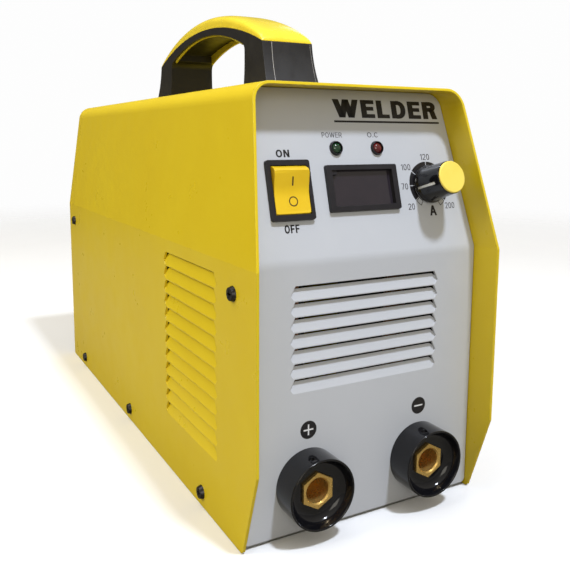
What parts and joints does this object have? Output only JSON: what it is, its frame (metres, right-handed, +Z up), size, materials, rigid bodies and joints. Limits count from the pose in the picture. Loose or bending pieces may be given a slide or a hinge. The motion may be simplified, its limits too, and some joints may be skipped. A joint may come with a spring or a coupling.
{
  "type": "stick welding inverter",
  "caption": "Portable inverter arc welder: louvred steel case with recessed control panel, carrying handle, rocker switch, current knob, bayonet output sockets and rear fan.",
  "frame": {"origin": "middle of the underside of the base plate, where the machine stands on the bench", "axes": "+Z up, front panel faces -Y, +X to the right of someone facing the front panel, +Y towards the fan"},
  "size_m": [0.1592, 0.4076, 0.2986],
  "materials": {
    "cover_paint": "gloss yellow powder coat",
    "panel_paint": "satin light grey powder coat",
    "plated_steel": "zinc plated",
    "black_screw": "black oxide",
    "black_plastic": "fine textured moulding",
    "gloss_black": "polished moulding",
    "yellow_plastic": "smooth moulding",
    "rocker_yellow": "smooth moulding",
    "white_ink": "white infill",
    "window": "dark tinted acrylic",
    "led_green": "tinted epoxy",
    "led_red": "tinted epoxy",
    "digit_face": "LED module",
    "pcb": "solder mask",
    "chip": "moulded packages",
    "brass": "machined",
    "copper": "copper bar",
    "bright_steel": "nickel plated wire",
    "fan_plastic": "glass filled moulding",
    "seal_rubber": "elastomer",
    "nylon": "natural nylon",
    "ferrite": "ferrite",
    "enamel_wire": "enamelled copper",
    "heatsink_al": "extruded",
    "cap_sleeve": "shrink sleeve"
  },
  "bodies": {
    "case": {"cover": "cover_paint", "cover_screws": "black_screw", "front_panel": "panel_paint", "rear_panel": "panel_paint", "base_plate": "plated_steel", "handle_body": "black_plastic", "handle_cap": "yellow_plastic", "handle_lining": "yellow_plastic", "handle_screws": "plated_steel", "switch_housing": "black_plastic", "switch_terminals": "brass", "display_bezel": "black_plastic", "display_window": "window", "display_digits": "digit_face", "led_holders": "black_plastic", "led_green": "led_green", "led_red": "led_red", "control_board": "pcb", "board_chips": "chip", "pot_body": "plated_steel", "pot_nut": "plated_steel", "socket_body_neg": "gloss_black", "socket_body_pos": "gloss_black", "socket_insert_neg": "brass", "socket_insert_pos": "brass", "socket_nuts": "black_plastic", "stud_nuts": "brass", "busbars": "copper", "fan_frame": "fan_plastic", "fan_guard": "bright_steel", "fan_screws": "plated_steel", "gland_body": "black_plastic", "gland_locknut": "black_plastic", "gland_seal": "seal_rubber", "gland_nut": "black_plastic", "earth_stud": "brass", "earth_nut": "brass", "inductor_pad": "nylon", "inductor_core": "ferrite", "inductor_winding": "enamel_wire", "transformer_core": "ferrite", "transformer_winding": "enamel_wire", "transformer_base": "nylon", "heatsinks": "heatsink_al", "pillars": "nylon", "power_devices": "chip", "standoffs": "brass", "power_board": "pcb", "bus_terminals": "brass", "capacitors": "cap_sleeve", "board_parts": "chip", "bridge_heatsink": "heatsink_al", "bridge_rectifier": "chip", "board_posts": "nylon"},
    "rocker": {"switch_rocker": "rocker_yellow"},
    "knob": {"pot_shaft": "plated_steel", "knob_body": "gloss_black", "knob_pointer": "white_ink", "knob_cap": "yellow_plastic"},
    "rotor": {"fan_rotor": "fan_plastic"}
  },
  "joints": [
    {"name": "rocker_tilt", "type": "hinge", "parent": "case", "child": "rocker", "pos_m": [-0.0442, -0.16719, 0.18399], "axis": [-1, 0, 0], "range_deg": [0, 20]},
    {"name": "knob_turn", "type": "hinge", "parent": "case", "child": "knob", "pos_m": [0.0482, -0.18052, 0.18829], "axis": [0, -0.9639, 0.2663], "range_deg": [-236, 24.5]},
    {"name": "rotor_spin", "type": "hinge", "parent": "case", "child": "rotor", "pos_m": [0, 0.17, 0.078], "axis": [0, 1, 0], "continuous": true}
  ]
}
